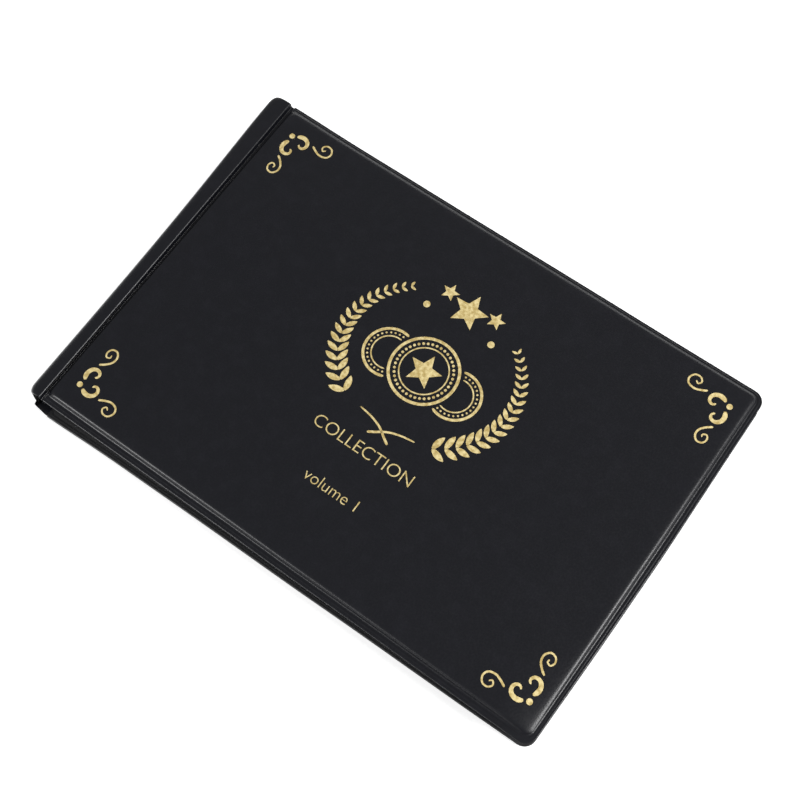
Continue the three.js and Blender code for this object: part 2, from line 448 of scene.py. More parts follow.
def cover_ring(row, left, head_tuck, softness):
    """One row's outline, bowed and drooped as the cover is, as (x, y, height) points."""
    side, hinge, rise = row
    right_radius = max(RIM_CORNER - side * 0.6, PANEL_CORNER)
    left_radius = min(HINGE_CORNER + hinge * 2.4, HINGE_PANEL_CORNER)
    head_inset = head_tuck + side * (1 - head_tuck / RIM_WIDTH) if side < RIM_WIDTH else side
    outline = rounded_outline(
        left + hinge,
        FORE_EDGE_X - narrowed(side),
        -HALF_WIDTH + side,
        HALF_WIDTH - head_inset,
        left_radius,
        right_radius,
    )
    ring = []
    for p in outline:
        sway = 1 + waves(p, WEAVE_SIZE, softness, 1.7) / HALF_WIDTH
        lift = cover_lift(p, softness, side)
        edge = clamped((p.x - FORE_EDGE_X + BOW_REACH) / BOW_REACH) ** 2
        along = p.y / HALF_WIDTH
        arch = math.cos(along * math.pi / 2) - 0.15 + BOW_LEAN * along
        bow = BOW * arch * edge * clamped(1.25 - side / 4)
        near_fore = clamped((p.x - FORE_EDGE_X + DROOP_REACH) / DROOP_RUN) ** 1.3
        near_tail = clamped((DROOP_START_Y - p.y) / DROOP_LENGTH)
        droop = DROOP * near_fore * near_tail * clamped(rise / 2)
        ring.append((p.x * sway + bow, p.y * sway, rise + lift - droop))
    return ring


def cover_shell(rows, left, head_tuck, softness, place):
    """A closed shell through the rows. place turns a point of a row into a point of the album."""
    return banded([[place(p) for p in cover_ring(row, left, head_tuck, softness)] for row in rows])


BACK_SKEW = 0.0105  # the back cover was welded on slightly askew, in millimetres a millimetre
BACK_SKEW_X = 70.0
HEAD_FLARE = 0.7  # how far the front cover's head and the back cover's tail stand out near the spine
TAIL_FLARE = 0.65
FLARE_REACH = 22.0


def flared(x, y, amount):
    """How far an edge at y stands out near the spine."""
    near_spine = math.exp(-(((x - HINGE_X) / FLARE_REACH) ** 2))
    return amount * near_spine * clamped(y / HALF_WIDTH) ** 6


def front_place(p):
    """A point of a row in the album, as part of the front cover."""
    return p[0], p[1] + flared(p[0], p[1], HEAD_FLARE), FRONT_LOW.z + p[2]


def back_place(p):
    """The same for the back cover, which lies face down and askew."""
    y = p[1] + (p[0] - BACK_SKEW_X) * BACK_SKEW - flared(p[0], -p[1], TAIL_FLARE)
    return p[0], y, BACK_RIM_Z - p[2]


FRONT_SOFTNESS = 0.16
BACK_SOFTNESS = 0.2
FRONT_LEFT = HINGE_X + 0.35
BACK_LEFT = BACK_HINGE_X + 0.35


def turned_in(faces):
    """The faces with their other sides out."""
    return [tuple(reversed(face)) for face in faces]


LINER_FACES = (
    (40.0, 37.0, -0.60),
    (4.20, 1.40, -0.60),
    (2.60, 0.90, -0.60),
    (2.25, 0.80, -0.50),
    (1.90, 0.70, -0.60),
    (1.45, 0.50, -0.60),
    (1.15, 0.40, -0.50),
    (0.80, 0.30, -0.60),
    (0.20, 0.12, -0.58),
    (0.08, 0.04, -0.40),
    (0.12, 0.06, -0.06),
    (4.20, 1.40, -0.30),
    (40.0, 37.0, -0.30),
)
BOARD_FACES = (
    (60.0, 57.0, 0.06),
    (5.60, 2.60, 0.06),
    (5.10, 2.20, 0.25),
    (5.20, 2.30, 0.80),
    (5.80, 2.90, 1.20),
    (7.20, 4.30, 1.44),
    (60.0, 57.0, 1.48),
)
COVER_ROWS = INNER_FACE + WELD_LINES + PANEL_SLOPE
HEAD_TUCK = 1.4  # the front cover stops this far short of the pages' head


def cover(side, left, head_tuck, softness, place, flipped):
    """The leather, lining and board of one cover."""
    for part, rows, unevenness, finish, node, slot in (
        ("leather", COVER_ROWS, softness, LEATHER, "outer_skin", "leatherette"),
        ("lining", LINER_FACES, softness, LINING, "liner", "liner_vinyl"),
        ("board", BOARD_FACES, 0.0, BOARD, "board", "greyboard"),
    ):
        points, faces = cover_shell(rows, left, head_tuck, unevenness, place)
        piece = make_object(f"{side}_cover_{part}", points, turned_in(faces) if flipped else faces, finish)
        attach(piece, f"{side}_cover")
        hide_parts(f"{side}_{node}")


cover("front", FRONT_LEFT, HEAD_TUCK, FRONT_SOFTNESS, front_place, False)
cover("back", BACK_LEFT, 0.0, BACK_SOFTNESS, back_place, True)


# ---- spine ----

SPINE_HEAD_BULGE = 1.8  # how far the spine swells out at the head
SPINE_TAPER = 3.3  # how much of that swelling and of the strip's width is lost towards the tail
SPINE_END_RADIUS = 4.5  # rounds the outer wall off at both ends, seen from above
SPINE_ROWS = 64
SPINE_CORNER_WIDTH = 5.4  # the rounding between the spine's flat side and its outer wall
SPINE_CORNER_DEPTH = 2.0  # how deep that rounding is at the head
SPINE_CORNER_GROWTH = 1.0  # and how much deeper at the tail
TAPER_SHARE = 0.36  # the share of the spine's length in which most of the taper happens
TAPER_POWER = 1.7
GROOVE_WIDENING = 0.7  # how much wider the front groove is at the head
SPINE_HEAD_TUCK = 1.2  # the spine stops this far short of the pages' head
FOOT_Z = SPINE_LOW.z + 0.3


def spine_share(y):
    """0 at the head of the spine and 1 at its tail."""
    return (HALF_WIDTH - y) / (2 * HALF_WIDTH)


def spine_lean(y):
    """How far the outer wall stands towards the groove at one place along the spine."""
    from_end = min(HALF_WIDTH - SPINE_HEAD_TUCK - y, HALF_WIDTH + y)
    rounding = 0.0
    if from_end < SPINE_END_RADIUS:
        short = min(SPINE_END_RADIUS - from_end, SPINE_END_RADIUS)
        rounding = SPINE_END_RADIUS - math.sqrt(SPINE_END_RADIUS**2 - short**2)
    narrowing = SPINE_TAPER * (1 - math.exp(-((spine_share(y) / TAPER_SHARE) ** TAPER_POWER)))
    return narrowing - SPINE_HEAD_BULGE + 0.5 * rounding


def groove_lip(y):
    """Where the spine's flat side ends at the front groove. The groove widens towards the head."""
    return HINGE_X - GROOVE_HALF - GROOVE_WIDENING * (1 - spine_share(y)) ** 2


def spine_line(y, inset):
    """The spine's section at one place along it, from the front groove over the corner and down to
    the foot, inset into the vinyl."""
    lean = spine_lean(y)
    outer = SPINE_LOW.x + lean + inset
    foot = SPINE_LOW.x + 0.35 * max(lean, 0) + inset
    top = SPINE_HIGH.z - inset
    wide = SPINE_CORNER_WIDTH - inset
    deep = SPINE_CORNER_DEPTH + SPINE_CORNER_GROWTH * spine_share(y) - inset * 0.6
    lip = groove_lip(y)
    bulge = waves((0, y), 26.0, 0.4, 8.1)
    line = [(lip + 0.12, top - 0.8), (lip - 0.02, top - 0.4), (lip - 0.22, top - 0.16), (lip - 0.6, top)]
    flat_end = outer + wide
    for k in range(1, 6):
        share = k / 6
        line.append((lip - 0.6 + (flat_end - lip + 0.6) * share, top + bulge * 0.3 * share))
    for k in range(9):
        angle = math.radians(90 + 76 * k / 8)
        x = flat_end + wide * math.cos(angle)
        z = top - deep + deep * math.sin(angle)
        line.append((x, z + bulge * 0.3 * (1 - k / 8)))
    start_x, start_z = line[-1]
    for k in range(1, 11):
        share = k / 10
        sag = (0.2 + bulge * 0.5) * math.sin(math.pi * share)
        line.append((start_x + (foot - start_x) * share - sag, start_z + (FOOT_Z - start_z) * share))
    return line


def along_spine(inset):
    """Places along the spine from its head to its tail, closer together near its ends."""
    half = HALF_WIDTH - inset - SPINE_HEAD_TUCK / 2
    places = []
    for k in range(SPINE_ROWS + 1):
        even = math.sin(math.pi / 2 * (1 - 2 * k / SPINE_ROWS))
        places.append(half * math.sin(math.pi / 2 * even) - SPINE_HEAD_TUCK / 2)
    return places


def spine_skin(name, inset, depth, end_inset, finish):
    """A closed skin, depth thick, that follows the spine's section from inset inwards."""
    loops = []
    for y in along_spine(end_inset):
        outer = [(x, y, z) for x, z in spine_line(y, inset)]
        inner = [(x, y, z) for x, z in spine_line(y, inset + depth)]
        loops.append(outer + inner[::-1])
    points, faces = banded(loops)
    return make_object(name, points, turned_in(faces), finish)


def spine_leather():
    piece = spine_skin("spine_leather", 0.0, SKIN, 0.0, LEATHER)
    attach(piece, "spine")
    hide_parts("spine_outer_skin")


CARD_DEPTH = 0.5
LINING_DEPTH = 0.25
SKIN_GAP = 0.03  # between the leather, the card and the lining


def spine_card():
    piece = spine_skin("spine_stiffener", SKIN + SKIN_GAP, CARD_DEPTH, 4.0, BOARD)
    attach(piece, "spine")
    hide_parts("spine_card")


def spine_lining():
    piece = spine_skin("spine_lining", SKIN + CARD_DEPTH + 2 * SKIN_GAP, LINING_DEPTH, 0.5, LINING)
    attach(piece, "spine")
    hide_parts("spine_liner")


GROOVE_VINYL = 0.34  # the vinyl is thinner where it is pressed


def hinge_groove():
    """The pressed line between the spine and the front cover."""
    rim_z = FRONT_LOW.z
    top_z = SPINE_HIGH.z
    end_x = FRONT_LEFT
    loops = []
    for y in along_spine(0.05):
        lip = groove_lip(y)
        span = end_x - lip
        sway = waves((0, y), 9.0, 0.3, 5.5)
        deep = waves((0, y), 7.0, 0.2, 2.5)
        line = [
            (lip - 0.5, top_z - 0.62),
            (lip - 0.2, top_z - 0.7),
            (lip + 0.05, top_z - 0.95),
            (lip + 0.12 * span, top_z - 1.4),
            (lip + 0.2 * span, rim_z + 0.1 + deep),
            (lip + 0.32 * span, rim_z - 0.2),
            (lip + 0.46 * span + sway * 0.3, rim_z - 0.18),
            (lip + 0.56 * span + sway * 0.3, rim_z + deep),
            (lip + 0.66 * span + sway * 0.3, rim_z - 0.18),
            (lip + 0.8 * span, rim_z - 0.2),
            (lip + 0.92 * span, rim_z - 0.1),
            (end_x + 0.05, rim_z + 0.05),
            (end_x + 0.25, rim_z + 0.12),
        ]
        top = [(x, y, z) for x, z in line]
        under = [(x - 0.06, y, z - GROOVE_VINYL) for x, z in line]
        loops.append(top + under[::-1])
    points, faces = banded(loops)
    piece = make_object("hinge_groove", points, turned_in(faces), LEATHER)
    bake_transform(piece)


def skewed(x, y, z):
    """The back strip is askew with the back cover near the groove, and less so at the spine."""
    share = clamped((x - SPINE_LOW.x) / (BACK_HINGE_X - SPINE_LOW.x))
    skew = (x - BACK_SKEW_X) * BACK_SKEW * (0.7 + 0.3 * share)
    return x, y + skew - flared(x, -y, TAIL_FLARE) * share, z


TURN_RADIUS = 1.1


def turn_up(wall, radius):
    """The quarter turn from the underside to the outer wall."""
    points = []
    for k in range(1, 6):
        p = on_circle(wall + TURN_RADIUS, TURN_RADIUS, radius, 270 - 90 * k / 5)
        points.append((p.x, p.y))
    return points


def back_strip():
    """The outer sheet under the spine: the back groove, the strip and the turn up to the wall."""
    rim_z = BACK_RIM_Z
    strip_end = BACK_HINGE_X - GROOVE_HALF
    loops = []
    for y in along_spine(0.3):
        lean = 0.4 * spine_lean(y)
        wall = SPINE_LOW.x + lean
        sway = waves((0, y), 9.0, 0.25, 6.5)
        outer = [
            (BACK_HINGE_X + 0.9, rim_z - 0.42),
            (BACK_HINGE_X + 0.3, rim_z - 0.3),
            (BACK_HINGE_X - 0.2, rim_z - 0.42),
            (strip_end + 0.4, rim_z - 0.45),
            (strip_end + 0.1 + sway * 0.3, rim_z - 0.9),
            (strip_end - 0.1 + sway * 0.3, 0.5),
            (strip_end - 0.6, 0.08),
            (strip_end - 1.2, 0.0),
            (wall + 3.5, 0.0),
            (wall + 1.4, 0.0),
        ]
        outer += turn_up(wall, TURN_RADIUS)
        outer.append((wall + 0.02, FOOT_Z + 0.9))
        inner = [
            (BACK_HINGE_X + 0.9, rim_z - 0.02),
            (BACK_HINGE_X + 0.3, rim_z),
            (BACK_HINGE_X - 0.2, rim_z - 0.02),
            (strip_end + 0.2, rim_z - 0.05),
            (strip_end - 0.35 + sway * 0.3, rim_z - 0.7),
            (strip_end - 0.5 + sway * 0.3, 0.75),
            (strip_end - 0.8, 0.45),
            (strip_end - 1.3, 0.4),
            (wall + 3.5, 0.4),
            (wall + 1.4, 0.4),
        ]
        inner += turn_up(wall, TURN_RADIUS - SKIN)
        inner.append((wall + 0.42, FOOT_Z + 0.9))
        loops.append([skewed(x, y, z) for x, z in outer + inner[::-1]])
    points, faces = banded(loops)
    piece = make_object("back_strip", points, faces, LEATHER)
    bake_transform(piece)


spine_leather()
spine_card()
spine_lining()
hinge_groove()
back_strip()


# ---- pages ----

FILM_THICKNESS = 0.2
POCKET_GAP = 0.3
WELD_GAP = 0.01  # keeps the two films of a weld apart
WELD_HALF = 0.6
SWELL = 0.1  # how far a pocket's face stands out of the flat sheet
SWELL_REACH = 3.2  # how far from a weld it is fully out
MOUTH_DROP = 5.0
MOUTH_HEIGHT = 1.0
MOUTH_SIDE = 3.0
SHEET_BORDER = 3.0
SHEET_CORNER = 3.0


def pocket_stations(low, high, count):
    """Grid lines over a row of pockets, close together near the welds."""
    pitch = (high - low) / count
    near = [0.0, WELD_HALF, WELD_HALF + 0.8, WELD_HALF + 2.4]
    middle = [pitch * share for share in (0.34, 0.5, 0.66)]
    far = [pitch - WELD_HALF - 2.4, pitch - WELD_HALF - 0.8, pitch - WELD_HALF]
    lines = []
    for k in range(count):
        for offset in near + middle + far:
            lines.append(low + k * pitch + offset)
    lines.append(high)
    return lines


def with_border(lines, low, high):
    """Adds the grid lines of the sheet's own border."""
    return [low, low + 0.9, low + 1.9] + lines + [high - 1.9, high - 0.9, high]


def swell(place, low, high, count):
    """0 on the welds of a row of pockets and 1 in the middle of each pocket."""
    if place <= low or place >= high:
        return 0.0
    pitch = (high - low) / count
    part = (place - low) % pitch
    distance = min(part, pitch - part) - WELD_HALF
    return math.sin(clamped(distance / SWELL_REACH) * math.pi / 2)


def onto_circle(dx, dy):
    """Moves a point of a square round the origin onto the circle that the square holds."""
    reach = max(abs(dx), abs(dy))
    if reach < 1e-9:
        return dx, dy
    scale = reach / math.hypot(dx, dy)
    return dx * scale, dy * scale


def rounded_corner(x, y):
    """Pulls a point of a square sheet onto its rounded corner."""
    centre_x = SHEET_HIGH.x - SHEET_CORNER if x > 0 else SHEET_LOW.x + SHEET_CORNER
    centre_y = math.copysign(SHEET_HIGH.y - SHEET_CORNER, y)
    dx, dy = x - centre_x, y - centre_y
    if (dx > 0) != (x > 0) or (dy > 0) != (y > 0):
        return x, y
    dx, dy = onto_circle(dx, dy)
    return centre_x + dx, centre_y + dy


def film_mesh(name, xs, ys, place, heights, missing, welded):
    """A closed thin film over a grid. place moves a grid point in its plane, heights gives the
    underside and the top there, missing says which cells are cut out, and welded which are welds."""
    points = []
    for y in ys:
        for x in xs:
            px, py = place(x, y)
            points += [(px, py, z) for z in heights(x, y)]
    wide = len(xs)

    def corner(i, j, side):
        return 2 * (j * wide + i) + side

    cells = [(i, j) for j in range(len(ys) - 1) for i in range(wide - 1) if not missing(i, j)]
    present = set(cells)
    faces, kinds = [], []
    for i, j in cells:
        ring = ((i, j), (i + 1, j), (i + 1, j + 1), (i, j + 1))
        cell_faces = [
            tuple(corner(a, b, 1) for a, b in ring),
            tuple(corner(a, b, 0) for a, b in reversed(ring)),
        ]
        for k, neighbour in enumerate(((i, j - 1), (i + 1, j), (i, j + 1), (i - 1, j))):
            if neighbour not in present:
                a, b = ring[k], ring[(k + 1) % 4]
                cell_faces.append((corner(*a, 0), corner(*b, 0), corner(*b, 1), corner(*a, 1)))
        faces += cell_faces
        kinds += [int(welded(i, j))] * len(cell_faces)
    return make_object(name, points, faces, FILM, WELD_FILM, finish_of_face=kinds)


def page_weld_z(number):
    """The height at which the two films of a page meet."""
    return box_mm(f"page_{number:02d}_back_film")[0].z + FILM_THICKNESS + POCKET_GAP / 2


def page_films(number):
    """One page: a back film and a front film, welded together round every pocket. Each pocket's
    mouth is a slit in the front film, near the head of the pocket."""
    columns, rows = LAYOUTS[(number - 1) // SHEETS_PER_LAYOUT]
    name = f"page_{number:02d}"
    weld_z = page_weld_z(number)
    left, right = SHEET_LOW.x + SHEET_BORDER, SHEET_HIGH.x - SHEET_BORDER
    tail, head = SHEET_LOW.y + SHEET_BORDER, SHEET_HIGH.y - SHEET_BORDER
    column_pitch = (right - left) / columns
    row_pitch = (head - tail) / rows
    xs = with_border(pocket_stations(left, right, columns), SHEET_LOW.x, SHEET_HIGH.x)
    slit = (row_pitch - MOUTH_DROP - MOUTH_HEIGHT, row_pitch - MOUTH_DROP)
    slit_ys = [tail + k * row_pitch + offset for k in range(rows) for offset in slit]
    ys = with_border(sorted(pocket_stations(tail, head, rows) + slit_ys), SHEET_LOW.y, SHEET_HIGH.y)

    def rise(x, y):
        ripple = 0.75 + waves((x, y), 11.0, 0.5, number * 3.1)
        return swell(x, left, right, columns) * swell(y, tail, head, rows) * ripple

    def front_heights(x, y):
        low = weld_z + WELD_GAP + (POCKET_GAP / 2 + SWELL) * rise(x, y)
        return low, low + FILM_THICKNESS

    def back_heights(x, y):
        high = weld_z - WELD_GAP - (POCKET_GAP / 2 + SWELL) * rise(x, y)
        return high - FILM_THICKNESS, high

    def middle_of(i, j):
        return (xs[i] + xs[i + 1]) / 2, (ys[j] + ys[j + 1]) / 2

    def in_mouth(i, j):
        x, y = middle_of(i, j)
        if not (left < x < right and tail < y < head):
            return False
        along = (x - left) % column_pitch
        return slit[0] < (y - tail) % row_pitch < slit[1] and MOUTH_SIDE < along < column_pitch - MOUTH_SIDE

    def welded(i, j):
        x, y = middle_of(i, j)
        return swell(x, left, right, columns) <= 0 or swell(y, tail, head, rows) <= 0

    for side, heights, missing in (
        ("front_film", front_heights, in_mouth),
        ("back_film", back_heights, lambda i, j: False),
    ):
        piece = film_mesh(f"{name}_{side}_vinyl", xs, ys, rounded_corner, heights, missing, welded)
        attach(piece, name)
        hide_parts(f"{name}_{side}")


BINDING_LEFT = MARGIN_LOW.x + 0.4
POST_NUMBERS = (1, 2, 3)
POST_X = sum(corner.x for corner in box_mm("binding_post_2")) / 2
POST_YS = [sum(corner.y for corner in box_mm(f"binding_post_{k}")) / 2 for k in POST_NUMBERS]
HOLE_RADIUS = 2.1
HOLE_SURROUND = 2.6  # half of the square of the grid that a hole takes up
WELD_GROOVES = (-119.1, -118.3)  # two pressed lines, where the strip is thinner
PRESSED_HALF = 0.12
TAB_START_X = -117.6


def binding_strip(number):
    """The margin that the posts hold and the soft tab that joins it to the page."""
    name = f"page_{number:02d}"
    weld_z = page_weld_z(number)
    around_hole = [share * HOLE_RADIUS for share in (-1, -0.6, -0.2, 0.2, 0.6, 1)]
    around_hole = [-HOLE_SURROUND] + around_hole + [HOLE_SURROUND]
    right = SHEET_LOW.x - 0.05
    xs = [BINDING_LEFT] + [POST_X + offset for offset in around_hole]
    xs += [groove + offset for groove in WELD_GROOVES for offset in (-0.2, 0.0, 0.2)]
    xs += [TAB_START_X + (right - TAB_START_X) * k / 12 for k in range(13)]
    ys = []
    low, high = MARGIN_LOW.y, MARGIN_HIGH.y
    for post_y, next_y in zip([low] + POST_YS, POST_YS + [high]):
        start = post_y if post_y == low else post_y + HOLE_SURROUND
        end = next_y if next_y == high else next_y - HOLE_SURROUND
        if post_y != low:
            ys += [post_y + offset for offset in around_hole[:-1]]
        ys += [start + (end - start) * k / 8 for k in range(8)]
    ys.append(high)

    def nearest_post(y):
        return min(POST_YS, key=lambda post_y: abs(post_y - y))

    def place(x, y):
        post_y = nearest_post(y)
        dx, dy = x - POST_X, y - post_y
        reach = max(abs(dx), abs(dy))
        share = clamped((HOLE_SURROUND - reach) / (HOLE_SURROUND - HOLE_RADIUS))
        round_x, round_y = onto_circle(dx, dy)
        return x + (round_x - dx) * share, y + (round_y - dy) * share

    def heights(x, y):
        pressed = min(abs(x - groove) for groove in WELD_GROOVES) < 0.05
        half = PRESSED_HALF if pressed else FILM_THICKNESS
        return weld_z - half, weld_z + half

    def in_hole(i, j):
        x, y = (xs[i] + xs[i + 1]) / 2, (ys[j] + ys[j + 1]) / 2
        return max(abs(x - POST_X), abs(y - nearest_post(y))) < HOLE_RADIUS

    piece = film_mesh(f"{name}_binding_strip", xs, ys, place, heights, in_hole, lambda i, j: True)
    start = section_point(MARGIN_HIGH.x - 0.3, weld_z)
    end = section_point(right, weld_z)
    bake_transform(piece)
    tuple(start)
    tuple(end)
    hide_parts(f"{name}_binding_margin")


for page_number in range(1, SHEET_COUNT + 1):
    page_films(page_number)
    binding_strip(page_number)


# ---- gold foil ----
# Places on the panel are measured from its middle.

PANEL_X = (FRONT_LOW.x + FRONT_HIGH.x) / 2 - 0.4
FOIL_PROUD = 0.045
FOIL_DEPTH = 0.12
STAR_WAIST = 0.45  # a star's inner radius over its outer one


def panel_z(x, y):
    """The height of the front cover's panel."""
    return FRONT_LOW.z + PANEL_SLOPE[-1][2] + cover_lift((x, y), FRONT_SOFTNESS, PANEL_FROM)


class Stamp:
    """Collects foil shapes into one thin closed piece."""

    def __init__(self, name):
        self.name = name
        self.points = []
        self.faces = []

    def add_point(self, x, y):
        """Adds the top and the underside of the foil at one place, and gives the top's index."""
        z = panel_z(x + PANEL_X, y)
        self.points.append((x + PANEL_X, y, z + FOIL_PROUD))
        self.points.append((x + PANEL_X, y, z - FOIL_DEPTH))
        return len(self.points) - 2

    def add_face(self, ring):
        self.faces.append(tuple(ring))
        self.faces.append(tuple(k + 1 for k in reversed(ring)))

    def add_wall(self, a, b):
        self.faces.append((a, a + 1, b + 1, b))

    def fan(self, centre, outline):
        """A shape that can be seen whole from its centre, such as a dot or a star."""
        middle = self.add_point(*centre)
        rim = [self.add_point(*p) for p in outline]
        for k, a in enumerate(rim):
            b = rim[(k + 1) % len(rim)]
            self.add_face((middle, a, b))
            self.add_wall(a, b)

    def ribbon(self, path, widths, closed=False):
        """A stroke along a path, with its width at each point."""
        sides = []
        last = len(path) - 1
        for k, p in enumerate(path):
            before = path[k - 1] if k > 0 or closed else p
            after = path[(k + 1) % len(path)] if k < last or closed else p
            along = (Vector(after) - Vector(before)).normalized()
            across = Vector((-along.y, along.x)) * widths[k] / 2
            left = self.add_point(p[0] + across.x, p[1] + across.y)
            right = self.add_point(p[0] - across.x, p[1] - across.y)
            sides.append((left, right))
        spans = len(path) if closed else last
        for k in range(spans):
            left_a, right_a = sides[k]
            left_b, right_b = sides[(k + 1) % len(path)]
            self.add_face((right_a, right_b, left_b, left_a))
            self.add_wall(right_a, right_b)
            self.add_wall(left_b, left_a)
        if not closed:
            self.add_wall(sides[0][0], sides[0][1])
            self.add_wall(sides[-1][1], sides[-1][0])

    def dot(self, x, y, radius, sides=28):
        self.fan((x, y), ring_points(x, y, radius, sides))

    def star(self, x, y, radius):
        outline = []
        for k in range(10):
            reach = radius if k % 2 == 0 else radius * STAR_WAIST
            angle = math.radians(90 + 36 * k)
            outline.append((x + reach * math.cos(angle), y + reach * math.sin(angle)))
        self.fan((x, y), outline)

    def finish(self):
        piece = make_object(self.name, self.points, self.faces, FOIL, smooth=False)
        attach(piece, "front_cover")


def ring_points(x, y, radius, count, start=0.0, sweep=360.0):
    """Points along a circle or an arc, angles in degrees."""
    steps = count if sweep == 360.0 else count - 1
    points = []
    for k in range(count):
        angle = math.radians(start + sweep * k / steps)
        points.append((x + radius * math.cos(angle), y + radius * math.sin(angle)))
    return points


def smooth_path(points, per_span):
    """A soft curve through a few points."""
    ends = [points[0]] + list(points) + [points[-1]]
    path = []
    for k in range(1, len(ends) - 2):
        p0, p1, p2, p3 = (Vector(p) for p in ends[k - 1 : k + 3])
        for step in range(per_span):
            t = step / per_span
            path.append(tuple(
                0.5
                * (
                    2 * p1
                    + (p2 - p0) * t
                    + (2 * p0 - 5 * p1 + 4 * p2 - p3) * t**2
                    + (3 * p1 - p0 - 3 * p2 + p3) * t**3
                )
            ))
    path.append(tuple(points[-1]))
    return path


def faded(low, high, count, power=1.0):
    """Widths that go from low to high along a stroke."""
    return [low + (high - low) * (k / (count - 1)) ** power for k in range(count)]


def round_ended(widths, taper_points=3):
    """Rounds both ends of a stroke."""
    result = list(widths)
    for k in range(taper_points):
        share = math.sqrt(1 - (1 - (k + 0.35) / taper_points) ** 2)
        result[k] *= share
        result[-1 - k] *= share
    return result


WREATH_MIDDLE = 1.7
WREATH_CENTRE_Y = 17.6
WREATH_REACH = (40.3, 35.3)
WREATH_START = -124.0
WREATH_SWEEP = 103.0
WREATH_PAIRS = 17
LEAF_LENGTHS = (7.1, 2.7)  # of the lowest and the highest leaf
LEAF_WIDTHS = (2.8, 1.15)
LEAF_SPREAD = 56  # degrees between a leaf and the stem's line
LEAF_BEND = 16


def leaf(stamp, base, direction, length, width, bend):
    """A plump leaf that widens past its middle and ends in a point."""
    steps = 14
    path, widths = [], []
    x, y = base
    angle = math.radians(direction)
    for k in range(steps + 1):
        t = k / steps
        path.append((x, y))
        widths.append(max(width * math.sin(math.pi * min(t * 0.93 + 0.07, 1.0)) ** 0.75, 0.02))
        angle += math.radians(bend) / steps
        x += length / steps * math.cos(angle)
        y += length / steps * math.sin(angle)
    stamp.ribbon(path, widths)


def foil_wreath():
    stamp = Stamp("foil_wreath")
    for mirror in (1, -1):
        for k in range(WREATH_PAIRS):
            share = k / (WREATH_PAIRS - 1)
            angle = math.radians(WREATH_START - WREATH_SWEEP * share**0.93)
            x = WREATH_REACH[0] * math.cos(angle)
            y = WREATH_CENTRE_Y + WREATH_REACH[1] * math.sin(angle)
            tangent = (math.sin(angle) * WREATH_REACH[0], -math.cos(angle) * WREATH_REACH[1])
            growth = math.degrees(math.atan2(tangent[1], tangent[0]))
            length = LEAF_LENGTHS[0] + (LEAF_LENGTHS[1] - LEAF_LENGTHS[0]) * share**1.1
            width = LEAF_WIDTHS[0] + (LEAF_WIDTHS[1] - LEAF_WIDTHS[0]) * share
            for side in (1, -1):
                direction = growth + side * LEAF_SPREAD
                bend = -side * LEAF_BEND
                if mirror < 0:
                    direction = 180 - direction
                    bend = -bend
                leaf(stamp, (WREATH_MIDDLE + mirror * x, y), direction, length, width, bend)
    stamp.finish()


def foil_stems():
    stamp = Stamp("foil_stems")
    for mirror in (1, -1):
        line = smooth_path([(-10.8, -13.6), (-4.6, -14.6), (0.8, -16.4), (5.4, -19.4), (8.0, -21.0)], 6)
        middle = 2.9
        path = [(middle + mirror * (x - middle), y) for x, y in line]
        stamp.ribbon(path, round_ended(faded(0.7, 1.15, len(path))))
    stamp.finish()


def foil_stars():
    stamp = Stamp("foil_stars")
    stamp.star(1.4, 47.6, 8.6)
    for x in (-10.4, 13.2):
        stamp.star(x, 50.6, 4.2)
    for x in (-15.5, 17.6):
        stamp.dot(x, 40.3, 1.55)
    stamp.finish()


COIN_CENTRE = (1.4, 14.4)
COIN_RADIUS = 15.0
COIN_CLEARANCE = 1.7  # bare leather between the middle coin and the coins beside it
SIDE_COIN_RADIUS = 11.0
SIDE_COIN_OFFSET = 17.0
SIDE_COIN_DROP = -1.5


def foil_coins():
    """Three coins: the middle one in front of the two beside it."""
    stamp = Stamp("foil_coins")
    x, y = COIN_CENTRE
    outline = ring_points(x, y, COIN_RADIUS, 96)
    stamp.ribbon(outline, [1.3] * len(outline), closed=True)
    inner = ring_points(x, y, COIN_RADIUS - 4.4, 72)
    stamp.ribbon(inner, [0.6] * len(inner), closed=True)
    for bead_x, bead_y in ring_points(x, y, COIN_RADIUS - 2.5, 40):
        stamp.dot(bead_x, bead_y, 0.62, 12)
    stamp.star(x, y, 8.0)
    clear = COIN_RADIUS + COIN_CLEARANCE
    for side in (1, -1):
        centre = (x + side * SIDE_COIN_OFFSET, y + SIDE_COIN_DROP)
        for radius, width in ((SIDE_COIN_RADIUS, 1.2), (SIDE_COIN_RADIUS - 3.4, 0.6)):
            arc = [
                p for p in ring_points(*centre, radius, 120, 180 if side > 0 else 0, 359.9)
                if math.dist(p, COIN_CENTRE) > clear
            ]
            stamp.ribbon(arc, round_ended([width] * len(arc)))
        for p in ring_points(*centre, SIDE_COIN_RADIUS - 1.8, 30):
            if math.dist(p, COIN_CENTRE) > clear + 0.6:
                stamp.dot(*p, 0.45, 10)
    stamp.finish()


CORNER_DOT = (113.45, 73.55)
CORNER_DOT_RADIUS = 1.3
COMMA_CENTRE = (6.3, 1.6)
COMMA_REACH = 4.7
COMMA_CURL = 0.00517  # how fast the curl tightens, for each degree
VOLUTES = (
    ((11.0, -1.0), (13.4, 0.3), (16.3, 1.2), (19.3, 0.4), (20.3, -2.0), (18.9, -4.4), (16.4, -4.6),
     (15.0, -3.0), (16.0, -1.5), (17.2, -2.4)),
    ((0.9, 11.5), (3.0, 13.0), (5.0, 15.4), (5.3, 18.2), (3.6, 20.3), (1.2, 19.9), (0.2, 17.8),
     (1.1, 16.0), (2.7, 16.5), (2.6, 17.8)),
)


